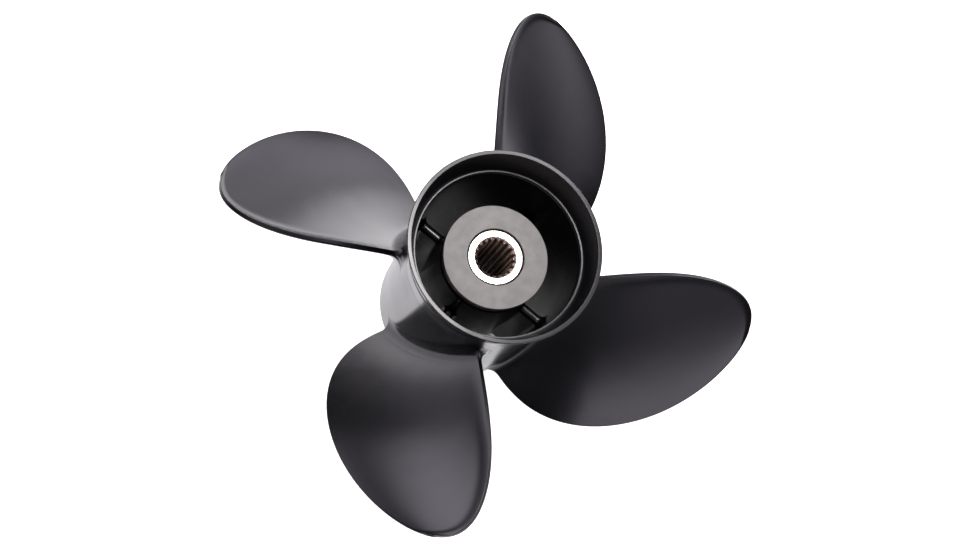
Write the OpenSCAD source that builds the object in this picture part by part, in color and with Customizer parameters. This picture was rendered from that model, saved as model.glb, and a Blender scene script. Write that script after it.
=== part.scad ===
// Right-hand four-blade boat propeller with the exhaust led out through its hub.
// The shaft axis is Z. The front end of the barrel lies on z = 0, centred on the
// origin, and +Z points aft, out of the exhaust mouth. Blade 1 grows out along +X.

/* [Propeller] */
// Diameter of the circle swept by the blade tips
tip_diameter = 381; // [372:0.5:390]
// Forward travel in one turn without slip
pitch = 584; // [540:1:620]
// Height of each root's middle above the front end
blade_root_height = 70.4; // [68:0.2:74]
// Aft lean of the blades, rise over run
rake = 0.315; // [0.25:0.005:0.36]

/* [Blade outline] */
// Half of the blade's width at its root, measured along the helix
root_half_width = 55.6; // [52:0.2:58]
// Growth of the half width with span, first power
width_growth_1 = 53.1; // [49:0.1:56]
// Growth of the half width with span, second power
width_growth_2 = 11.3; // [8:0.1:14]
// Growth of the half width with span, third power (negative narrows the tip)
width_growth_3 = -39.2; // [-43:0.1:-36]
// Roundness of the tip, where 2 is an ellipse and more is squarer
tip_squareness = 2.35; // [2:0.01:3]
// Sweep towards the trailing edge, first power of span
sweep_1 = 22.1; // [15:0.1:28]
// Sweep towards the trailing edge, second power of span
sweep_2 = 13; // [8:0.1:18]
// Sweep towards the trailing edge, third power of span
sweep_3 = 46.7; // [40:0.1:50]

/* [Blade section] */
// Thickness along the leading edge
leading_edge_t = 1.8; // [1.5:0.1:3]
// Thickness along the trailing edge
trailing_edge_t = 4; // [3:0.1:5]
// Thickness of the middle of the blade at its root
root_middle_t = 13; // [10:0.5:15]
// Thickness of the middle of the blade at its tip
tip_middle_t = 4.5; // [4:0.1:6]
// Depth of the hollow in the pressure face, as a share of the width
hollow_share = 0.03; // [0:0.005:0.045]
// Height of the cup, which curls the trailing edge towards the pressure side
cup_height = 1.6; // [0:0.1:2]
// Width of the cupped strip along the trailing edge and round the tip
cup_width = 10; // [8:0.5:12]
// Radius of the fillet between a blade and the barrel
root_fillet = 9; // [6:0.5:10]

/* [Barrel] */
// Length of the barrel along the shaft
barrel_length = 175; // [173:0.5:180]
// Outer diameter of the barrel's front and middle, for a 4.75 inch gearcase
barrel_d = 120.6; // [120:0.1:121.2]
// Diameter of the exhaust passage at its front end
passage_front_d = 112; // [111.5:0.1:112.4]
// Diameter of the exhaust passage where it meets the mouth
passage_rear_d = 115.2; // [114.6:0.1:115.4]
// Diameter of the front recess that slips over the gearcase lip
register_d = 115; // [114.6:0.1:115.2]
// Depth of the front recess
register_depth = 6; // [4:0.5:7]

/* [Exhaust mouth] */
// Length of the flared mouth at the rear of the barrel
mouth_length = 20.2; // [18:0.2:22]
// Diameter over the rear rim
rim_outer_d = 133; // [131:0.5:134]
// Diameter inside the rear rim
rim_inner_d = 126.8; // [125:0.2:127]
// Diameter of the ledge at the bottom of the mouth
ledge_d = 117.8; // [117.2:0.1:118.4]
// Distance from the rear rim to the fine groove round its outside
groove_offset = 5.5; // [5:0.1:7]

/* [Inner hub] */
// Outer diameter of the inner hub
hub_outer_d = 73.6; // [72:0.1:75]
// Bore of the inner hub, which holds the rubber cushion
cushion_bore_d = 62; // [60:0.1:63]
// Distance from the rear rim down to the flat rear face of the hub
hub_recess = 29.7; // [28:0.1:32]
// Thickness of the wall that closes the rear of the hub
rear_wall_t = 6; // [5:0.5:8]
// Hole in the rear wall, round the drive sleeve
rear_hole_d = 40.4; // [40:0.1:41]
// Height of the hub's front end
hub_front = 9; // [9:0.5:12]

/* [Ribs] */
// Thickness of each rib between the hub and the barrel
rib_t = 7.5; // [5:0.1:9]
// Angle of each rib behind the middle of its blade's root
rib_turn = 2.2; // [0:0.1:4]
// Height at which the ribs start
rib_front = 14; // [12:0.5:20]
// Height at which the ribs end
rib_rear = 102; // [95:0.5:110]

/* [Drive sleeve] */
// Outer diameter of the splined sleeve
sleeve_d = 38.4; // [38:0.1:38.6]
// Height of the sleeve's front end
sleeve_front = 8; // [8:0.5:10]
// Distance of the sleeve's rear end below the hub's rear face
sleeve_recess = 1.4; // [1:0.1:3]
// Number of spline teeth
spline_teeth = 19; // [17:1:21]
// Diameter over the tips of the spline teeth
spline_tip_d = 24.2; // [23.6:0.1:24.8]
// Diameter at the bottom of the spline grooves
spline_root_d = 27.4; // [26.8:0.1:28]
// Diameter of the plain pilot bore at the front
pilot_d = 29.2; // [29:0.1:30]
// Length of the plain pilot bore
pilot_length = 10; // [8:0.5:14]
// Diameter of the cone that seats the thrust washer
seat_cone_d = 35; // [34:0.1:35.6]
// Depth of the cone that seats the thrust washer
seat_cone_depth = 6; // [4:0.5:7]

/* [Rubber cushion] */
// Height of the cushion's front end
cushion_front = 18; // [16:0.5:22]
// Height of the cushion's rear end
cushion_rear = 136; // [120:0.5:136.5]

/* [Hidden] */

blade_count = 4;
full_turn = 360;
round_fn = 96;
cut = 1;                        // overshoot of a cutting shape past the face it cuts
chamfer = 0.8;

paint = [0.05, 0.05, 0.055];
hub_face = [0.55, 0.53, 0.52];
rubber = [0.10, 0.10, 0.10];
bronze = [0.72, 0.58, 0.36];

barrel_r = barrel_d / 2;
passage_front_r = passage_front_d / 2;
passage_rear_r = passage_rear_d / 2;
mouth_bottom = barrel_length - mouth_length;
mouth_neck_r = barrel_r + 1.7;  // the barrel already widens a little below the mouth
neck_start = mouth_bottom - 20;
hub_r = hub_outer_d / 2;
hub_rear = barrel_length - hub_recess;
wall_front = hub_rear - rear_wall_t;
sleeve_rear = hub_rear - sleeve_recess;
sleeve_r = sleeve_d / 2;
cushion_gap = 0.05;             // slip fit of the cushion in the hub's bore

// ---- Blades ----------------------------------------------------------------

tip_r = tip_diameter / 2;
span_steps = 22;                // stations from the fillet's edge to the tip
width_steps = 18;               // strips across the width of the blade
cup_start = 0.05;               // share of the span where the cup begins
cup_full = 0.4;                 // share of the span where the cup reaches its full height
slope_step = 0.001;             // share of the span over which the edge's slope is taken
tip_end = 0.9985;               // share of the span at the last, very narrow station
fillet_shares = [0, 0.12, 0.32, 0.6];
root_depth = 2.4;               // how far a blade's root is set into the barrel's wall
lead = pitch / full_turn;       // rise for each degree round the axis
lead_per_rad = lead * 180 / PI;

// Share of the span, 0 on the barrel and 1 at the tip
function span_share(r) = max(0, (r - barrel_r) / (tip_r - barrel_r));

// Half of the width at a share of the span
function half_width(x) =
    (root_half_width + width_growth_1 * x + width_growth_2 * x ^ 2 + width_growth_3 * x ^ 3)
    * sqrt(1 - x ^ tip_squareness);

// Distance of mid-width from the blade's own radial line, along the helix
function sweep(x) = sweep_1 * x + sweep_2 * x ^ 2 + sweep_3 * x ^ 3;

// Outward flare at radius r: a circular fillet outside the barrel, and a plain taper
// to nothing inside its wall
function flare(r) =
    let(left = max(0, 1 - max(0, r - barrel_r) / root_fillet))
    r < barrel_r
        ? root_fillet * (1 - (barrel_r - r) / root_depth)
        : root_fillet * (1 - sqrt(1 - left ^ 2));

// Middle thickness at a share of the span
function middle_t(x) = tip_middle_t + (root_middle_t - tip_middle_t) * (1 - x) ^ 1.3;

// Thickness across the width, where s runs from -1 (leading) to 1 (trailing edge)
function section_t(s, x) =
    let(edge_t = leading_edge_t + (trailing_edge_t - leading_edge_t) * (s + 1) / 2)
    edge_t + (middle_t(x) - (leading_edge_t + trailing_edge_t) / 2) * (1 - s ^ 2);

// Depth of the hollow pressure face below the helix
function hollow(s, x) = hollow_share * 2 * half_width(x) * (1 - s ^ 2);

// Sideways run of the trailing edge for each mm of radius
function edge_slope(x) =
    let(low = max(0, x - slope_step), high = low + slope_step)
    (half_width(high) + sweep(high) - half_width(low) - sweep(low))
    / (slope_step * (tip_r - barrel_r));

// Height of the cup, which grows over the inner span and fades over the leading half
function cup(s, x) =
    cup_height
    * max(0, min(1, (x - cup_start) / (cup_full - cup_start)))
    * sin(90 * min(1, s + 1));

// A point on the blade: side 0 is the pressure face, 1 is the suction face. The cup bends
// the strip next to the trailing edge, so the pressure face's edge is also drawn inwards.
function blade_point(r, s, side) =
    let(
        x = span_share(r),
        helix = sqrt(r ^ 2 + lead_per_rad ^ 2),
        grow = flare(r),
        slope = edge_slope(x),
        steepness = sqrt(1 + slope ^ 2),
        near_edge = max(0, 1 - (1 - s) * half_width(x) / steepness / cup_width),
        drawn_in = (1 - side) * section_t(s, x) * 2 * cup(s, x) / cup_width * near_edge,
        reach = r + drawn_in * slope / steepness,
        along = sweep(x) + s * (half_width(x) + grow) - drawn_in / steepness,
        turn = along / helix * 180 / PI,
        side_grow = grow * sqrt(1 - s ^ 6),
        inset = hollow(s, x) + side * section_t(s, x) + (2 * side - 1) * side_grow
            - cup(s, x) * near_edge ^ 2,
        z = blade_root_height + rake * (reach - barrel_r) + lead * turn - inset * r / helix,
        back_turn = inset * lead_per_rad / helix / r * 180 / PI
    )
    [reach * cos(turn + back_turn), reach * sin(turn + back_turn), z];

fillet_stations = [for (f = fillet_shares) barrel_r + f * root_fillet];
span_stations = [
    for (i = [0 : span_steps])
        let(u = i / span_steps)
        barrel_r + root_fillet
        + (tip_r - barrel_r - root_fillet) * tip_end * (1 - (1 - u) ^ 1.8)
];
blade_stations = concat([barrel_r - root_depth], fillet_stations, span_stations);
width_stations = [for (j = [0 : width_steps]) -cos(180 * j / width_steps)];

module blade_body() {
    rows = len(blade_stations);
    cols = len(width_stations);
    ring = 2 * cols;
    points = [
        for (r = blade_stations)
            for (k = [0 : ring - 1])
                k < cols
                    ? blade_point(r, width_stations[k], 0)
                    : blade_point(r, width_stations[ring - 1 - k], 1)
    ];
    sides = [
        for (i = [0 : rows - 2])
            for (k = [0 : ring - 1])
                let(a = i * ring + k, b = i * ring + (k + 1) % ring)
                each [[a, b, b + ring], [a, b + ring, a + ring]]
    ];
    function cap(row, flip) = [
        for (k = [0 : cols - 2])
            let(
                a = row * ring + k,
                b = a + 1,
                c = row * ring + ring - 2 - k,
                d = c + 1
            )
            each flip ? [[a, c, b], [a, d, c]] : [[a, b, c], [a, c, d]]
    ];
    polyhedron(points, concat(sides, cap(0, true), cap(rows - 1, false)));
}

module blade(number) {
    color(paint)
        rotate((number - 1) * full_turn / blade_count)
            blade_body();
}

// ---- Barrel, hub and ribs --------------------------------------------------

module outer_barrel() {
    color(paint)
        rotate_extrude($fn = round_fn)
            polygon([
                [register_d / 2, 0],
                [barrel_r - chamfer, 0],
                [barrel_r, chamfer],
                [barrel_r, neck_start],
                [mouth_neck_r, mouth_bottom],
                [passage_rear_r, mouth_bottom],
                [passage_front_r, register_depth],
                [register_d / 2, register_depth]
            ]);
}

module exhaust_mouth() {
    rim_r = rim_outer_d / 2;
    groove_z = barrel_length - groove_offset;
    groove_w = 1;
    groove_bottom_r = mouth_neck_r + 1;
    color(paint)
        rotate_extrude($fn = round_fn)
            polygon([
                [passage_rear_r, mouth_bottom],
                [mouth_neck_r, mouth_bottom],
                [mouth_neck_r + 2, groove_z - groove_w],
                [groove_bottom_r, groove_z - groove_w / 2],
                [rim_r - 1.5, groove_z],
                [rim_r, barrel_length - chamfer],
                [rim_r - chamfer, barrel_length],
                [rim_inner_d / 2 + chamfer / 2, barrel_length],
                [rim_inner_d / 2, barrel_length - chamfer],
                [ledge_d / 2, mouth_bottom + chamfer],
                [passage_rear_r, mouth_bottom + chamfer]
            ]);
}

module inner_hub() {
    color(paint)
        rotate_extrude($fn = round_fn)
            polygon([
                [cushion_bore_d / 2 + chamfer, hub_front],
                [hub_r - chamfer, hub_front],
                [hub_r, hub_front + chamfer],
                [hub_r, wall_front],
                [cushion_bore_d / 2, wall_front],
                [cushion_bore_d / 2, hub_front + chamfer]
            ]);
}

module hub_rear_wall() {
    color(hub_face)
        rotate_extrude($fn = round_fn)
            polygon([
                [rear_hole_d / 2, wall_front],
                [hub_r, wall_front],
                [hub_r, hub_rear - chamfer / 2],
                [hub_r - chamfer / 2, hub_rear],
                [rear_hole_d / 2, hub_rear]
            ]);
}

// One plate between the hub and the barrel, rounded along its rear edge
module rib(number) {
    length = barrel_r;
    color(paint)
        rotate((number - 1) * full_turn / blade_count - rib_turn)
            difference() {
                union() {
                    translate([0, -rib_t / 2, rib_front])
                        cube([length, rib_t, rib_rear - rib_t / 2 - rib_front]);
                    translate([0, 0, rib_rear - rib_t / 2])
                        rotate([0, 90, 0])
                            cylinder(d = rib_t, h = length, $fn = 32);
                }
                translate([0, 0, rib_front - cut])
                    cylinder(r = hub_r, h = rib_rear, $fn = round_fn);
                difference() {
                    translate([0, 0, rib_front - cut])
                        cylinder(r = 2 * barrel_r, h = rib_rear, $fn = round_fn);
                    translate([0, 0, register_depth])
                        cylinder(
                            r1 = passage_front_r,
                            r2 = passage_rear_r,
                            h = mouth_bottom - register_depth,
                            $fn = round_fn
                        );
                }
            }
}

// ---- Cushion drive ---------------------------------------------------------

module rubber_cushion() {
    color(rubber)
        rotate_extrude($fn = round_fn)
            polygon([
                [sleeve_r, cushion_front],
                [cushion_bore_d / 2 - 3, cushion_front],
                [cushion_bore_d / 2 - cushion_gap, cushion_front + 4],
                [cushion_bore_d / 2 - cushion_gap, cushion_rear - 4],
                [cushion_bore_d / 2 - 3, cushion_rear],
                [sleeve_r, cushion_rear]
            ]);
}

module drive_sleeve() {
    tip_r = spline_tip_d / 2;
    root_r = spline_root_d / 2;
    groove_mid = PI * (tip_r + root_r) / spline_teeth;
    seat_end = sleeve_front + seat_cone_depth;
    pilot_end = seat_end + pilot_length;
    mouth = 1.2;
    color(bronze)
        difference() {
            rotate_extrude($fn = round_fn)
                polygon([
                    [tip_r, pilot_end],
                    [pilot_d / 2, pilot_end],
                    [pilot_d / 2, seat_end],
                    [seat_cone_d / 2, sleeve_front],
                    [sleeve_r, sleeve_front],
                    [sleeve_r, sleeve_rear - chamfer / 2],
                    [sleeve_r - chamfer / 2, sleeve_rear],
                    [root_r + mouth, sleeve_rear],
                    [tip_r, sleeve_rear - 2 * mouth]
                ]);
            for (i = [1 : spline_teeth])
                rotate(i * full_turn / spline_teeth)
                    translate([0, 0, pilot_end - cut])
                        linear_extrude(sleeve_rear - pilot_end + 2 * cut)
                            polygon([
                                [tip_r - 1, -groove_mid * 0.68],
                                [root_r, -groove_mid * 0.36],
                                [root_r, groove_mid * 0.36],
                                [tip_r - 1, groove_mid * 0.68]
                            ]);
        }
}

outer_barrel();
exhaust_mouth();
inner_hub();
hub_rear_wall();
rib(1);  // rib_1
rib(2);  // rib_2
rib(3);  // rib_3
rib(4);  // rib_4
blade(1);  // blade_1
blade(2);  // blade_2
blade(3);  // blade_3
blade(4);  // blade_4
rubber_cushion();
drive_sleeve();
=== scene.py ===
"""A four-blade boat propeller with its exhaust through the hub, in satin black, on a pale floor.

Everything is built in millimetres round the shaft axis, with +Z aft, and scaled to metres
when a mesh is made. The CAD frame gives the levels and radii that the pieces share.
"""

import math

import bpy
from mathutils import Matrix, Vector


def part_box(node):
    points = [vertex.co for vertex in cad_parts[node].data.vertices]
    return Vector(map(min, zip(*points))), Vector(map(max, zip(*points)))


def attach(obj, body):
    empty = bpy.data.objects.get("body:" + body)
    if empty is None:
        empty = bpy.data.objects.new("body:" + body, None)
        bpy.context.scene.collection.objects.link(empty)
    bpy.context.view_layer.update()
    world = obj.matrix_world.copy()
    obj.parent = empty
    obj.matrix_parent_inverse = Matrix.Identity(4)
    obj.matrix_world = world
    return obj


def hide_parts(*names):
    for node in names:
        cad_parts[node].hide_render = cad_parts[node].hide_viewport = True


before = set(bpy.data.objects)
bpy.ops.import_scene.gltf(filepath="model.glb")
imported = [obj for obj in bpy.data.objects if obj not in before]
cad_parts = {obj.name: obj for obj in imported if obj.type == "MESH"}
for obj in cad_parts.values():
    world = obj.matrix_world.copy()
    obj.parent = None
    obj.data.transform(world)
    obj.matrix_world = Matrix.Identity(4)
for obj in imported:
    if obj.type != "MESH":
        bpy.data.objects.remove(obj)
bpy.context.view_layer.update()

MM = 0.001
TURN = 2 * math.pi


# ---- Levels and radii taken from the frame, in millimetres ---------------------------------


def levels(node):
    """(front height, rear height, outer radius) of a round CAD node."""
    low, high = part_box(node)
    return low.z / MM, high.z / MM, high.x / MM


BARREL_FRONT, MOUTH_BOTTOM, NECK_R = levels("outer_barrel")
BARREL_REAR, RIM_R = levels("exhaust_mouth")[1:]
HUB_FRONT, WALL_FRONT, HUB_R = levels("inner_hub")
HUB_REAR = levels("hub_rear_wall")[1]
CUSHION_FRONT, CUSHION_REAR, CUSHION_R = levels("rubber_cushion")
SLEEVE_FRONT, SLEEVE_REAR, SLEEVE_R = levels("drive_sleeve")
RIB_FRONT, RIB_REAR = levels("rib_1")[:2]

# ---- Sizes that the boxes don't give, the same as the CAD model's ---------------------------

BARREL_R = 60.3
NECK_START = MOUTH_BOTTOM - 20
PASSAGE_FRONT_R = 56
PASSAGE_REAR_R = 57.6
REGISTER_R = 57.5
REGISTER_DEPTH = 6
LEDGE_R = 58.9
RIM_INNER_R = 63.4
LEDGE_TOP = MOUTH_BOTTOM + 0.8
GROOVE_Z = BARREL_REAR - 5.5
GROOVE_LIP = (NECK_R + 2, GROOVE_Z - 0.9)
GROOVE_BED = (NECK_R + 1.1, GROOVE_Z - 0.5)
RIM_FOOT = (RIM_R - 1.5, GROOVE_Z)
CUSHION_LIP_R = SLEEVE_R + 5
CUSHION_LIP_DEPTH = 1.2
CUSHION_BEVEL = (3.4, 4.5)
CUSHION_BORE_R = 31
REAR_HOLE_R = 20.2
RIB_T = 7.5
RIB_TURN = math.radians(-2.2)

TIP_R = 190.5
PITCH = 584
BLADE_ROOT_HEIGHT = 70.4
RAKE = 0.315
WIDTH = (55.6, 53.1, 11.3, -39.2)  # half the width, as powers 0 to 3 of the span share
TIP_SQUARENESS = 2.35
SWEEP = (22.1, 13, 46.7)  # as powers 1 to 3 of the span share
LEADING_T = 1.8
LEADING_T_GROWS_FROM = 0.8
TRAILING_T = 4
ROOT_MIDDLE_T = 13
TIP_MIDDLE_T = 4.5
MIDDLE_T_TAPER = 1.3
HOLLOW_SHARE = 0.03
CUP_HEIGHT = 1.6
CUP_WIDTH = 10
CUP_START = 0.05
CUP_FULL = 0.4
ROOT_FILLET = 9
BLADES = 4

SPLINE_TEETH = 19
SPLINE_TIP_R = 12.1
SPLINE_ROOT_R = 13.7
SPLINE_FLANK = (0.36, 0.62)
SPLINE_MOUTH_R = 14.9
SPLINE_MOUTH_DEPTH = 3
BLANK_R = SPLINE_TIP_R - 0.6
PILOT_R = 14.6
PILOT_LENGTH = 10
SEAT_CONE_R = 17.5
SEAT_CONE_DEPTH = 6


# ---- Mesh helpers ---------------------------------------------------------------------------


def add_mesh(name, points, faces, material, body, node):
    """A smooth piece from points in millimetres, riding on a body and standing for a CAD node."""
    mesh = bpy.data.meshes.new(name)
    mesh.from_pydata([(x * MM, y * MM, z * MM) for x, y, z in points], [], faces)
    mesh.validate()
    mesh.materials.append(MATERIALS[material])
    for polygon in mesh.polygons:
        polygon.use_smooth = True
    piece = bpy.data.objects.new(name, mesh)
    bpy.context.scene.collection.objects.link(piece)
    normals = piece.modifiers.new("even_normals", "WEIGHTED_NORMAL")
    normals.keep_sharp = True
    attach(piece, body)
    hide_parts(node)


def rounded(outline, steps=5):
    """A closed outline of (r, z, corner radius) with each corner turned into an arc."""
    result = []
    count = len(outline)
    for i, (r, z, radius) in enumerate(outline):
        here = Vector((r, z))
        before = Vector(outline[i - 1][:2]) - here
        after = Vector(outline[(i + 1) % count][:2]) - here
        angle = before.angle(after)
        if radius <= 0 or angle > math.radians(178):
            result.append((r, z))
            continue
        reach = radius / math.tan(angle / 2)
        reach = min(reach, 0.45 * before.length, 0.45 * after.length)
        radius = reach * math.tan(angle / 2)
        start = here + before.normalized() * reach
        end = here + after.normalized() * reach
        middle = (before.normalized() + after.normalized()).normalized()
        centre = here + middle * math.hypot(reach, radius)
        a = math.atan2(start.y - centre.y, start.x - centre.x)
        b = math.atan2(end.y - centre.y, end.x - centre.x)
        swing = (b - a + math.pi) % TURN - math.pi
        for k in range(steps + 1):
            t = a + swing * k / steps
            result.append((centre.x + radius * math.cos(t), centre.y + radius * math.sin(t)))
    return result


def split_long(outline, longest=6):
    """The closed outline with long straight runs cut into shorter ones."""
    result = []
    for i, (r, z) in enumerate(outline):
        r2, z2 = outline[(i + 1) % len(outline)]
        parts = max(1, math.ceil(math.hypot(r2 - r, z2 - z) / longest))
        result += [(r + (r2 - r) * k / parts, z + (z2 - z) * k / parts) for k in range(parts)]
    return result


def ring_faces(columns, rows):
    """Faces of a ring whose closed profile of that many rows is repeated in columns."""
    faces = []
    for j in range(columns):
        here = j * rows
        there = (j + 1) % columns * rows
        for i in range(rows):
            k = (i + 1) % rows
            faces.append((here + i, there + i, there + k, here + k))
    return faces


def lathe(name, outline, material, body, node, columns=192):
    """A closed outline of (r, z, corner radius) turned round the shaft axis."""
    profile = split_long(rounded(outline))
    rows = len(profile)
    points = []
    for j in range(columns):
        t = TURN * j / columns
        points += [(r * math.cos(t), r * math.sin(t), z) for r, z in profile]
    add_mesh(name, points, ring_faces(columns, rows), material, body, node)


def loft(loops, fold=None):
    """(points, faces) of a skin over closed loops of equal length, closed at both ends.

    The ends are flat faces, or with fold they are zipped across from side to side of the point
    with that number, so that the end of a wide blade follows its curve.
    """
    size = len(loops[0])
    points = [p for loop in loops for p in loop]
    faces = []
    for i in range(len(loops) - 1):
        for k in range(size):
            a = i * size + k
            b = i * size + (k + 1) % size
            faces.append((a, b, b + size, a + size))
    last = (len(loops) - 1) * size
    if fold is None:
        return points, faces + [tuple(reversed(range(size))), tuple(range(last, last + size))]
    for j in range((size - 1) // 2):
        a, b, c, d = [(fold + step) % size for step in (j, j + 1, -j - 1, -j)]
        strip = (a, b, c) if j == 0 else (a, b, c, d)
        faces.append(tuple(reversed(strip)))
        faces.append(tuple(last + k for k in strip))
    return points, faces


def turned(points, angle):
    """Points turned about the shaft axis."""
    c, s = math.cos(angle), math.sin(angle)
    return [(x * c - y * s, x * s + y * c, z) for x, y, z in points]


# ---- Materials ------------------------------------------------------------------------------


# The mix node's colour sockets share their names with others, so they go by number
MIX_COLOUR_A = 6
MIX_COLOUR_B = 7
MIX_COLOUR_OUT = 2

PAINT_COLOURS = ((0.0013, 0.0015, 0.0019), (0.0023, 0.0025, 0.0030))
PAINT_ROUGHNESS = (0.235, 0.268)
PAINT_SHEEN = (0.98, 0.96, 1, 1)
PEEL_HEIGHT = 0.000006
WAVE_HEIGHT = 0.00015
# Painted highlight: greys for the hub's rear face, far lighter than the casting's black paint, standing
# in for the light it catches
FACE_HIGHLIGHT_GREYS = ((0.109, 0.100, 0.097), (0.129, 0.119, 0.116))
FACE_ROUGHNESS = (0.5, 0.42)
FACE_GRAIN_HEIGHT = 0.000015
RUBBER_COLOURS = ((0.012, 0.012, 0.012), (0.03, 0.029, 0.028))
RUBBER_ROUGHNESS = 0.75
RUBBER_GRAIN_HEIGHT = 0.00004
BRIGHT_COLOURS = ((0.80, 0.72, 0.62), (0.92, 0.86, 0.78))
STAIN_COLOURS = ((0.055, 0.024, 0.014), (0.16, 0.075, 0.04))
BRIGHT_ROUGHNESS = (0.22, 0.32)
STAIN_EXTRA_ROUGHNESS = 0.2
STAIN_METALLIC = 0.2
STAIN_AT_TIPS = 0.6
TOOL_MARK_HEIGHT = 0.00002


class Nodes:
    """Short calls for building one material's node tree."""

    def __init__(self, name):
        self.material = bpy.data.materials.new(name)
        self.material.use_nodes = True
        self.tree = self.material.node_tree
        self.shader = self.tree.nodes["Principled BSDF"]
        self.position = self.add("ShaderNodeTexCoord").outputs["Object"]

    def add(self, kind, **settings):
        """A new node with its settings."""
        node = self.tree.nodes.new(kind)
        for key, value in settings.items():
            setattr(node, key, value)
        return node

    def link(self, output, socket):
        self.tree.links.new(output, socket)

    def noise(self, scale, detail=3, roughness=0.5, stretch=None):
        """A noise value from 0 to 1, with features about 1/scale metres across."""
        node = self.add("ShaderNodeTexNoise")
        node.inputs["Scale"].default_value = scale
        node.inputs["Detail"].default_value = detail
        node.inputs["Roughness"].default_value = roughness
        source = self.position
        if stretch:
            mapping = self.add("ShaderNodeMapping")
            mapping.inputs["Scale"].default_value = stretch
            self.link(source, mapping.inputs["Vector"])
            source = mapping.outputs["Vector"]
        self.link(source, node.inputs["Vector"])
        return node.outputs["Fac"]

    def ramp(self, value, low, high, out_low, out_high):
        """value mapped from low..high to out_low..out_high, clamped."""
        node = self.add("ShaderNodeMapRange")
        node.inputs["From Min"].default_value = low
        node.inputs["From Max"].default_value = high
        node.inputs["To Min"].default_value = out_low
        node.inputs["To Max"].default_value = out_high
        self.link(value, node.inputs["Value"])
        return node.outputs["Result"]

    def mix(self, factor, first, second):
        """A colour between two, by a value from 0 to 1. Each may be a colour or an output."""
        node = self.add("ShaderNodeMix", data_type="RGBA")
        self.link(factor, node.inputs["Factor"])
        sockets = (node.inputs[MIX_COLOUR_A], node.inputs[MIX_COLOUR_B])
        for socket, value in zip(sockets, (first, second)):
            if isinstance(value, tuple):
                socket.default_value = (*value, 1)
            else:
                self.link(value, socket)
        return node.outputs[MIX_COLOUR_OUT]

    def maths(self, operation, first, second):
        """A sum, product or other result of two values. Each may be a number or an output."""
        node = self.add("ShaderNodeMath", operation=operation)
        for socket, value in zip(node.inputs, (first, second)):
            if isinstance(value, (int, float)):
                socket.default_value = value
            else:
                self.link(value, socket)
        return node.outputs[0]

    def bump(self, height, distance, below=None):
        """A normal from a height of 0 to 1 that stands for a distance in metres."""
        node = self.add("ShaderNodeBump")
        node.inputs["Distance"].default_value = distance
        node.inputs["Strength"].default_value = 1
        self.link(height, node.inputs["Height"])
        if below:
            self.link(below, node.inputs["Normal"])
        return node.outputs["Normal"]


def black_paint():
    """Satin black paint over a casting: fine orange peel, slow waviness and faint blotches of sheen."""
    n = Nodes("satin_black")
    blotches = n.noise(22, 4, 0.55)
    n.link(n.mix(blotches, *PAINT_COLOURS), n.shader.inputs["Base Color"])
    n.link(n.ramp(blotches, 0.3, 0.7, *PAINT_ROUGHNESS), n.shader.inputs["Roughness"])
    n.shader.inputs["Specular Tint"].default_value = PAINT_SHEEN
    peel = n.bump(n.noise(700, 1), PEEL_HEIGHT)
    wavy = n.bump(n.noise(45, 1), WAVE_HEIGHT, below=peel)
    n.link(wavy, n.shader.inputs["Normal"])
    return n.material


def lit_grey_face():
    """The hub's flat rear face: thin satin paint given a mid-grey colour, a painted highlight for the
    light the flat face catches, with faint smudges.
    """
    n = Nodes("smudged_lit_grey")
    smudges = n.noise(130, 4, 0.6)
    smudged = n.ramp(smudges, 0.35, 0.65, 0, 1)
    # Painted highlight: the two greys stand in for light caught by the flat face; the smudges that mix
    # them are real
    n.link(n.mix(smudged, *FACE_HIGHLIGHT_GREYS), n.shader.inputs["Base Color"])
    n.link(n.ramp(smudges, 0.3, 0.7, *FACE_ROUGHNESS), n.shader.inputs["Roughness"])
    n.link(n.bump(n.noise(1500, 2), FACE_GRAIN_HEIGHT), n.shader.inputs["Normal"])
    return n.material


def moulded_rubber():
    """Matte black rubber with mould bloom."""
    n = Nodes("bloomed_rubber")
    bloom = n.noise(90, 4)
    n.link(n.mix(bloom, *RUBBER_COLOURS), n.shader.inputs["Base Color"])
    n.shader.inputs["Roughness"].default_value = RUBBER_ROUGHNESS
    n.link(n.bump(n.noise(1800, 3), RUBBER_GRAIN_HEIGHT), n.shader.inputs["Normal"])
    return n.material


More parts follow.
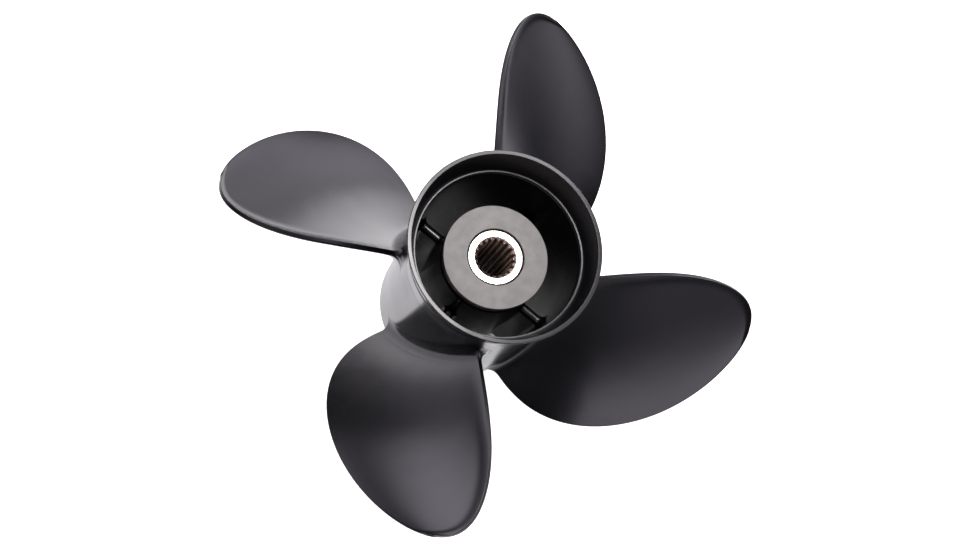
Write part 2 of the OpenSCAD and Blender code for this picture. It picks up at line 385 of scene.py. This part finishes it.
def cut_bronze():
    """Turned and broached bronze: bright on its faces and tooth tips, stained brown in the grooves."""
    n = Nodes("broached_bronze")
    stain = n.noise(160, 4)
    bright = n.mix(stain, *BRIGHT_COLOURS)
    brown = n.mix(stain, *STAIN_COLOURS)
    flat = n.add("ShaderNodeVectorMath", operation="MULTIPLY")
    n.link(n.position, flat.inputs[0])
    flat.inputs[1].default_value = (1, 1, 0)
    length = n.add("ShaderNodeVectorMath", operation="LENGTH")
    n.link(flat.outputs["Vector"], length.inputs[0])
    radius = length.outputs["Value"]
    facing = n.add("ShaderNodeSeparateXYZ")
    n.link(n.add("ShaderNodeNewGeometry").outputs["True Normal"], facing.inputs["Vector"])
    inside = n.ramp(radius, (SPLINE_ROOT_R + 0.2) * MM, (SPLINE_ROOT_R + 0.6) * MM, 1, 0)
    past_tip = n.ramp(
        radius, (SPLINE_TIP_R + 0.1) * MM, (SPLINE_TIP_R + 0.5) * MM, STAIN_AT_TIPS, 1
    )
    upright = n.ramp(facing.outputs["Z"], 0.2, 0.6, 1, 0)
    groove = n.maths("MULTIPLY", n.maths("MULTIPLY", past_tip, inside), upright)
    n.link(n.mix(groove, bright, brown), n.shader.inputs["Base Color"])
    n.link(n.ramp(groove, 0, 1, 1, STAIN_METALLIC), n.shader.inputs["Metallic"])
    polish = n.ramp(stain, 0.3, 0.7, *BRIGHT_ROUGHNESS)
    dulled = n.maths("ADD", polish, n.ramp(groove, 0, 1, 0, STAIN_EXTRA_ROUGHNESS))
    n.link(dulled, n.shader.inputs["Roughness"])
    tool_marks = n.noise(500, 2, stretch=(1, 1, 0.05))
    n.link(n.bump(tool_marks, TOOL_MARK_HEIGHT), n.shader.inputs["Normal"])
    return n.material


MATERIALS = {
    "black_paint": black_paint(),
    "hub_face_paint": lit_grey_face(),
    "cushion_rubber": moulded_rubber(),
    "sleeve_bronze": cut_bronze(),
}


# ---- Barrel, mouth and hub ------------------------------------------------------------------


def passage_r(z):
    """Radius of the exhaust passage's wall at a height."""
    share = (z - REGISTER_DEPTH) / (MOUTH_BOTTOM - REGISTER_DEPTH)
    return PASSAGE_FRONT_R + (PASSAGE_REAR_R - PASSAGE_FRONT_R) * max(0, min(1, share))


def build_barrel():
    outline = [
        (REGISTER_R, BARREL_FRONT, 0.4),
        (BARREL_R, BARREL_FRONT, 1.2),
        (BARREL_R, NECK_START, 40),
        (NECK_R, MOUTH_BOTTOM, 0),
        (PASSAGE_REAR_R, MOUTH_BOTTOM, 0),
        (PASSAGE_FRONT_R, REGISTER_DEPTH, 0.5),
        (REGISTER_R, REGISTER_DEPTH, 0.3),
    ]
    lathe("barrel_shell", outline, "black_paint", "propeller", "outer_barrel")


def build_mouth():
    outline = [
        (PASSAGE_REAR_R, MOUTH_BOTTOM, 0),
        (NECK_R, MOUTH_BOTTOM, 0),
        (*GROOVE_LIP, 0.3),
        (*GROOVE_BED, 0.2),
        (*RIM_FOOT, 0.35),
        (RIM_R, BARREL_REAR, 0.6),
        (RIM_INNER_R, BARREL_REAR, 0.35),
        (LEDGE_R, LEDGE_TOP, 0.35),
        (PASSAGE_REAR_R, LEDGE_TOP, 0.35),
    ]
    lathe("mouth_ring", outline, "black_paint", "propeller", "exhaust_mouth")


def build_hub():
    tube = [
        (CUSHION_BORE_R, HUB_FRONT, 0.8),
        (HUB_R, HUB_FRONT, 0.8),
        (HUB_R, WALL_FRONT, 0),
        (CUSHION_BORE_R, WALL_FRONT, 0),
    ]
    lathe("hub_tube", tube, "black_paint", "propeller", "inner_hub")
    wall = [
        (REAR_HOLE_R, WALL_FRONT, 0),
        (HUB_R, WALL_FRONT, 0),
        (HUB_R, HUB_REAR, 0.4),
        (REAR_HOLE_R, HUB_REAR, 0.25),
    ]
    lathe("hub_face", wall, "hub_face_paint", "propeller", "hub_rear_wall")


def build_cushion():
    inwards, lengthwise = CUSHION_BEVEL
    outline = [
        (SLEEVE_R, CUSHION_FRONT + CUSHION_LIP_DEPTH, 0.8),
        (CUSHION_LIP_R, CUSHION_FRONT, 4),
        (CUSHION_R - inwards, CUSHION_FRONT, 2.5),
        (CUSHION_R, CUSHION_FRONT + lengthwise, 3),
        (CUSHION_R, CUSHION_REAR - lengthwise, 3),
        (CUSHION_R - inwards, CUSHION_REAR, 2.5),
        (SLEEVE_R, CUSHION_REAR, 0.8),
    ]
    lathe("cushion_ring", outline, "cushion_rubber", "drive_side", "rubber_cushion")


# ---- Ribs -----------------------------------------------------------------------------------

HUB_FILLET = 3
WALL_FILLET = 5
RIB_STEPS = 36
RIB_ROUND = 10
RIB_SUNK = 0.3


def fillet_rise(distance, radius):
    """Height of a circular fillet at a distance from the wall that it leaves."""
    left = max(0, 1 - max(0, distance) / radius)
    return radius * (1 - math.sqrt(1 - left * left))


def rib_loop(r):
    """The rib's section where it crosses radius r, in height and width, as points."""
    outer_wall = passage_r(RIB_REAR)
    grow = fillet_rise(r - HUB_R, HUB_FILLET) + fillet_rise(outer_wall - r, WALL_FILLET)
    half = RIB_T / 2 + grow
    top = RIB_REAR - RIB_T / 2
    bottom = RIB_FRONT + RIB_T / 2
    loop = []
    for k in range(RIB_ROUND + 1):
        t = math.pi * k / RIB_ROUND
        loop.append((half * math.cos(t), top + half * math.sin(t)))
    for k in range(RIB_ROUND + 1):
        t = math.pi * (1 + k / RIB_ROUND)
        loop.append((half * math.cos(t), bottom + half * math.sin(t)))
    return [(math.sqrt(max(r * r - y * y, 0)), y, z) for y, z in loop]


def build_ribs():
    inner = HUB_R - RIB_SUNK
    outer = passage_r(RIB_REAR) + RIB_SUNK
    stations = []
    for k in range(RIB_STEPS + 1):
        share = (1 - math.cos(math.pi * k / RIB_STEPS)) / 2
        stations.append(inner + (outer - inner) * share)
    for number in range(BLADES):
        points, faces = loft([rib_loop(r) for r in stations])
        points = turned(points, TURN * number / BLADES + RIB_TURN)
        name = f"rib_{number + 1}"
        add_mesh(f"cast_{name}", points, faces, "black_paint", "propeller", name)


# ---- Blades ---------------------------------------------------------------------------------

LEAD = PITCH / TURN
FACE_STEPS = 44
CORNER_STEPS = 5
NOSE_STEPS = 8
FILLET_ROWS = 12
SPAN_ROWS = 84
TIP_END = 0.9988
SPAN_CROWDING = 1.9  # rows lie closer together towards the tip
TIP_CAP_ROWS = 5
SLOPE_STEP = 0.001
FACE_CORNER = 0.55
BACK_CORNER = 0.3
BACK_ROUND = 1.6
ROOT_SUNK = 0.5


def span_share(r):
    """0 at the barrel, 1 at the tip circle."""
    return max(0, (r - BARREL_R) / (TIP_R - BARREL_R))


def half_width(x):
    return sum(c * x**k for k, c in enumerate(WIDTH)) * math.sqrt(max(0, 1 - x**TIP_SQUARENESS))


def sweep(x):
    """How far the middle of the section lies towards the trailing side."""
    return sum(c * x ** (k + 1) for k, c in enumerate(SWEEP))


def smooth_step(low, high, value):
    """0 below low, 1 above high, and an S between them."""
    t = max(0, min(1, (value - low) / (high - low)))
    return t * t * (3 - 2 * t)


def section(x):
    """The blade's section at a share of the span: a closed loop of (along, inset) points."""
    half = half_width(x)
    leading = LEADING_T + (TRAILING_T - LEADING_T) * smooth_step(LEADING_T_GROWS_FROM, 1, x)
    nose = leading / 2
    middle = TIP_MIDDLE_T + (ROOT_MIDDLE_T - TIP_MIDDLE_T) * (1 - x) ** MIDDLE_T_TAPER
    bulge = middle - (leading + TRAILING_T) / 2
    hollow = HOLLOW_SHARE * 2 * half
    loop = []
    for k in range(FACE_STEPS + 1):
        s = -math.cos(math.pi * k / FACE_STEPS)
        along = -half + nose + (2 * half - nose - FACE_CORNER) * (s + 1) / 2
        loop.append((along, hollow * (1 - s * s)))
    for k in range(1, CORNER_STEPS + 1):
        t = math.pi / 2 * k / CORNER_STEPS
        loop.append((half - FACE_CORNER * (1 - math.sin(t)), FACE_CORNER * (1 - math.cos(t))))
    for k in range(CORNER_STEPS + 1):
        t = math.pi / 2 * k / CORNER_STEPS
        across = TRAILING_T - BACK_CORNER * (1 - math.sin(t))
        loop.append((half - BACK_CORNER * (1 - math.cos(t)), across))
    for k in range(1, FACE_STEPS + 1):
        s = math.cos(math.pi * k / FACE_STEPS)
        along = -half + nose + (2 * half - nose - BACK_CORNER) * (s + 1) / 2
        thickness = leading + (TRAILING_T - leading) * (s + 1) / 2 + bulge * (1 - s * s)
        loop.append((along, thickness + hollow * (1 - s * s)))
    for k in range(1, NOSE_STEPS):
        t = math.pi * k / NOSE_STEPS
        loop.append((-half + nose * (1 - math.sin(t)), nose * (1 + math.cos(t))))
    return loop


def grown(loop, distance):
    """The loop moved outwards by a distance, square to itself."""
    if distance <= 0:
        return loop
    result = []
    for k, (a, b) in enumerate(loop):
        a0, b0 = loop[k - 1]
        a1, b1 = loop[(k + 1) % len(loop)]
        along, across = a1 - a0, b1 - b0
        length = math.hypot(along, across) or 1
        result.append((a + across / length * distance, b - along / length * distance))
    return result


def edge_slope(x):
    """Sideways run of the trailing edge for each mm of radius."""
    low = max(0, x - SLOPE_STEP)
    high = low + SLOPE_STEP
    run = half_width(high) + sweep(high) - half_width(low) - sweep(low)
    return run / (SLOPE_STEP * (TIP_R - BARREL_R))


def cupped(loop, x):
    """The loop as (reach, along, inset), with its trailing edge curled to the pressure side.

    The suction side is rounded off along the same edge and round the tip.
    """
    slope = edge_slope(x)
    steepness = math.hypot(1, slope)
    half = half_width(x)
    full_cup = CUP_HEIGHT * max(0, min(1, (x - CUP_START) / (CUP_FULL - CUP_START)))
    result = []
    for a, b in loop:
        cup = full_cup * math.sin(math.pi / 2 * max(0, min(1, a / half + 1)))
        from_edge = max(0, (half - a) / steepness)
        near_edge = max(0, 1 - from_edge / CUP_WIDTH)
        if b > TRAILING_T / 2:
            b -= fillet_rise(from_edge, BACK_ROUND)
        drawn_in = max(0, TRAILING_T - b) * 2 * cup / CUP_WIDTH * near_edge
        reach = drawn_in * slope / steepness
        result.append((reach, a - drawn_in / steepness, b - cup * near_edge**2))
    return result


def blade_point(r, x, along, inset):
    """A point of a blade from its place in the section at radius r."""
    helix = math.hypot(r, LEAD)
    turn = (sweep(x) + along) / helix
    z = BLADE_ROOT_HEIGHT + RAKE * (r - BARREL_R) + LEAD * turn - inset * r / helix
    angle = turn + inset * LEAD / helix / r
    return (r * math.cos(angle), r * math.sin(angle), z)


def blade_loops():
    """The sections of blade 1 from inside the barrel's wall to the closed tip."""
    rows = [(BARREL_R - ROOT_SUNK, ROOT_FILLET)]
    for k in range(FILLET_ROWS):
        t = math.pi / 2 * (1 - k / FILLET_ROWS)
        rows.append((BARREL_R + ROOT_FILLET * (1 - math.sin(t)), ROOT_FILLET * (1 - math.cos(t))))
    start = BARREL_R + ROOT_FILLET
    for k in range(SPAN_ROWS + 1):
        share = 1 - (1 - k / SPAN_ROWS) ** SPAN_CROWDING
        rows.append((start + (BARREL_R + (TIP_R - BARREL_R) * TIP_END - start) * share, 0))
    loops = []
    for r, grow in rows:
        x = span_share(r)
        loop = cupped(grown(section(x), grow), x)
        loops.append([blade_point(r + reach, x, a, b) for reach, a, b in loop])
    last_r = rows[-1][0]
    x = span_share(last_r)
    last = cupped(section(x), x)
    middle_a = sum(a for reach, a, b in last) / len(last)
    middle_b = sum(b for reach, a, b in last) / len(last)
    for k in range(1, TIP_CAP_ROWS + 1):
        keep = math.cos(math.pi / 2 * k / (TIP_CAP_ROWS + 1))
        r = last_r + (TIP_R - last_r) * math.sin(math.pi / 2 * k / (TIP_CAP_ROWS + 1))
        loop = []
        for reach, a, b in last:
            drawn_a = middle_a + (a - middle_a) * keep
            drawn_b = middle_b + (b - middle_b) * keep
            loop.append(blade_point(r + reach, x, drawn_a, drawn_b))
        loops.append(loop)
    return loops


def build_blades():
    points, faces = loft(blade_loops(), fold=-(NOSE_STEPS // 2))
    for number in range(BLADES):
        name = f"blade_{number + 1}"
        placed = turned(points, TURN * number / BLADES)
        add_mesh(f"cast_{name}", placed, faces, "black_paint", "propeller", name)


# ---- Drive sleeve ---------------------------------------------------------------------------

TOOTH_STEPS = 16
LEVEL_SLACK = 0.01
RADIUS_SLACK = 0.05


def spline_r(angle):
    """Radius of the broached hole at an angle: teeth point inwards, flanks lean."""
    phase = (angle / TURN * SPLINE_TEETH) % 1
    wave = abs(phase - 0.5) * 2
    groove = smooth_step(*SPLINE_FLANK, wave)
    return SPLINE_TIP_R + (SPLINE_ROOT_R - SPLINE_TIP_R) * groove


def build_sleeve():
    """The sleeve, lathed with a blank hole that is then opened to the spline's teeth."""
    columns = SPLINE_TEETH * TOOTH_STEPS
    seat_end = SLEEVE_FRONT + SEAT_CONE_DEPTH
    pilot_end = seat_end + PILOT_LENGTH
    outside = [
        (SEAT_CONE_R, SLEEVE_FRONT, 0.2),
        (SLEEVE_R, SLEEVE_FRONT, 0.5),
        (SLEEVE_R, SLEEVE_REAR, 0.4),
        (SPLINE_MOUTH_R, SLEEVE_REAR, 0.2),
        (BLANK_R, SLEEVE_REAR - SPLINE_MOUTH_DEPTH, 0),
        (BLANK_R, pilot_end, 0),
        (PILOT_R, pilot_end, 0),
        (PILOT_R, seat_end, 0.2),
    ]
    profile = split_long(rounded(outside, 4), 3)
    points = []
    for j in range(columns):
        t = TURN * j / columns
        hole = spline_r(t)
        for r, z in profile:
            if pilot_end - LEVEL_SLACK <= z < SLEEVE_REAR and r < PILOT_R - RADIUS_SLACK:
                r = max(r, hole)
            points.append((r * math.cos(t), r * math.sin(t), z))
    faces = ring_faces(columns, len(profile))
    add_mesh("splined_sleeve", points, faces, "sleeve_bronze", "drive_side", "drive_sleeve")


build_barrel()
build_mouth()
build_hub()
build_cushion()
build_ribs()
build_blades()
build_sleeve()


# ---- Floor, light and camera ----------------------------------------------------------------

FLOOR_CENTRE = (-0.05, -0.15, 0)
FLOOR_HALF = 4
FLOOR_WHITES = ((0.86, 0.86, 0.86), (0.90, 0.90, 0.90))
# Painted shade: the floor's grey far from the propeller, standing in for less light falling there
FLOOR_PAINTED_SHADE_GREY = (0.38, 0.38, 0.38)
PAINTED_POOL_ENDS = (0.52, 0.62)
BARREL_FOOT = (0.0575, 0.0605)
GLOW_REACH = (0.1, 0.5)
GLOW_STRENGTH = (0.95, 0.05)
GLOW_UNDER_BARREL = 0.1


def build_floor():
    """A pale floor with a little light of its own, like a light table: white near the propeller and
    grey further out, a painted shade for the dimmer studio away from it.
    """
    n = Nodes("floor_pale")
    off_centre = n.add("ShaderNodeVectorMath", operation="DISTANCE")
    n.link(n.position, off_centre.inputs[0])
    off_centre.inputs[1].default_value = FLOOR_CENTRE
    white = n.mix(n.noise(3), *FLOOR_WHITES)
    # Painted shade: the floor's colour turns grey beyond about half a metre from its centre
    far = n.ramp(off_centre.outputs["Value"], *PAINTED_POOL_ENDS, 0, 1)
    n.link(n.mix(far, white, FLOOR_PAINTED_SHADE_GREY), n.shader.inputs["Base Color"])
    n.shader.inputs["Roughness"].default_value = 0.6
    distance = n.add("ShaderNodeVectorMath", operation="LENGTH")
    n.link(n.position, distance.inputs[0])
    n.shader.inputs["Emission Color"].default_value = (1, 1, 1, 1)
    clear_of_barrel = n.ramp(distance.outputs["Value"], *BARREL_FOOT, GLOW_UNDER_BARREL, 1)
    fading = n.ramp(distance.outputs["Value"], *GLOW_REACH, *GLOW_STRENGTH)
    n.link(n.maths("MULTIPLY", clear_of_barrel, fading), n.shader.inputs["Emission Strength"])
    mesh = bpy.data.meshes.new("floor")
    h = FLOOR_HALF
    mesh.from_pydata([(-h, -h, 0), (h, -h, 0), (h, h, 0), (-h, h, 0)], [], [(0, 1, 2, 3)])
    mesh.materials.append(n.material)
    floor = bpy.data.objects.new("floor", mesh)
    bpy.context.scene.collection.objects.link(floor)


def area_light(name, place, target, size, power, spread, colour=(1, 1, 1)):
    """A rectangular lamp at a place, turned to its target, with its beam's spread in degrees."""
    light = bpy.data.lights.new(name, "AREA")
    light.shape = "RECTANGLE"
    light.size, light.size_y = size
    light.energy = power
    light.spread = math.radians(spread)
    light.color = colour
    lamp = bpy.data.objects.new(name, light)
    lamp.location = place
    lamp.rotation_euler = (Vector(target) - Vector(place)).to_track_quat("-Z", "Y").to_euler()
    bpy.context.scene.collection.objects.link(lamp)


# Soft lights far off, as (azimuth, elevation, strength), each fading out over about 20 degrees
SOFT_LIGHTS = [
    (73, 52, 1.3),
    (-150, 50, 2.2),
    (-12, 49, 1.9),
    (-97, 45, 0.7),
    (40, 44, 2.2),
    (178, 43, 1.3),
    (-130, 38, 1.0),
    (8, 37, 1.5),
    (-162, 32, 0.8),
    (-15, 25, 3.6),
    (113, 29, 0.6),
    (133, 20, 0.3),
    (-122, 13, 2.2),
    (-70, 10, 2.2),
    (-102, 5, 2.2),
]
SOFTNESS = 20
SKY_TINT = (0.97, 0.91, 1.02)


def build_sky():
    """A studio of soft lights, as a world whose brightness is the sum of smooth round glows."""
    world = bpy.data.worlds.new("studio")
    world.use_nodes = True
    tree = world.node_tree
    direction = tree.nodes.new("ShaderNodeTexCoord").outputs["Generated"]

    def maths(operation, *values):
        node = tree.nodes.new("ShaderNodeMath")
        node.operation = operation
        for socket, value in zip(node.inputs, values):
            if isinstance(value, (int, float)):
                socket.default_value = value
            else:
                tree.links.new(value, socket)
        return node.outputs[0]

    total = None
    for azimuth, elevation, strength in SOFT_LIGHTS:
        a, e = math.radians(azimuth), math.radians(elevation)
        towards = tree.nodes.new("ShaderNodeVectorMath")
        towards.operation = "DOT_PRODUCT"
        tree.links.new(direction, towards.inputs[0])
        level = math.cos(e)
        towards.inputs[1].default_value = (math.cos(a) * level, math.sin(a) * level, math.sin(e))
        fade = maths("MULTIPLY_ADD", towards.outputs["Value"], SOFTNESS, -SOFTNESS)
        glow = maths("MULTIPLY", maths("EXPONENT", fade), strength)
        total = glow if total is None else maths("ADD", total, glow)
    tinted = tree.nodes.new("ShaderNodeVectorMath")
    tinted.operation = "SCALE"
    tinted.inputs[0].default_value = SKY_TINT
    tree.links.new(total, tinted.inputs["Scale"])
    tree.links.new(tinted.outputs["Vector"], tree.nodes["Background"].inputs["Color"])
    bpy.context.scene.world = world


LAMPS = [
    {
        "name": "backdrop_light",
        "place": (0.25, -0.6, 0.7),
        "target": (0.25, -0.6, 0),
        "size": (0.6, 0.6),
        "power": 6.2,
        "spread": 100,
    },
    {
        "name": "top_light",
        "place": (0.12, -0.33, 1.63),
        "target": (0, 0, 0.17),
        "size": (0.35, 0.35),
        "power": 1.05,
        "spread": 50,
        "colour": (1, 0.99, 0.94),
    },
]


def build_light():
    build_sky()
    for lamp in LAMPS:
        area_light(**lamp)


CAMERA_AT = Vector((22.3, 251.1, 800.7)) * MM
CAMERA_TOWARDS = Vector((-6.9, -17.2, 60)) * MM
CAMERA_UP = Vector((0.608, -0.754, 0.249))
CAMERA_LENS = 37.81
CAMERA_FILM = 36
CAMERA_NEAR = 0.01


def build_camera():
    camera = bpy.data.cameras.new("camera")
    camera.sensor_width = CAMERA_FILM
    camera.lens = CAMERA_LENS
    camera.clip_start = CAMERA_NEAR
    holder = bpy.data.objects.new("camera", camera)
    back = (CAMERA_AT - CAMERA_TOWARDS).normalized()
    right = CAMERA_UP.cross(back).normalized()
    axes = Matrix((right, back.cross(right), back)).transposed()
    holder.matrix_world = Matrix.Translation(CAMERA_AT) @ axes.to_4x4()
    bpy.context.scene.collection.objects.link(holder)
    bpy.context.scene.camera = holder


build_floor()
build_light()
build_camera()
bpy.context.scene.view_settings.view_transform = "Standard"

bpy.context.view_layer.update()
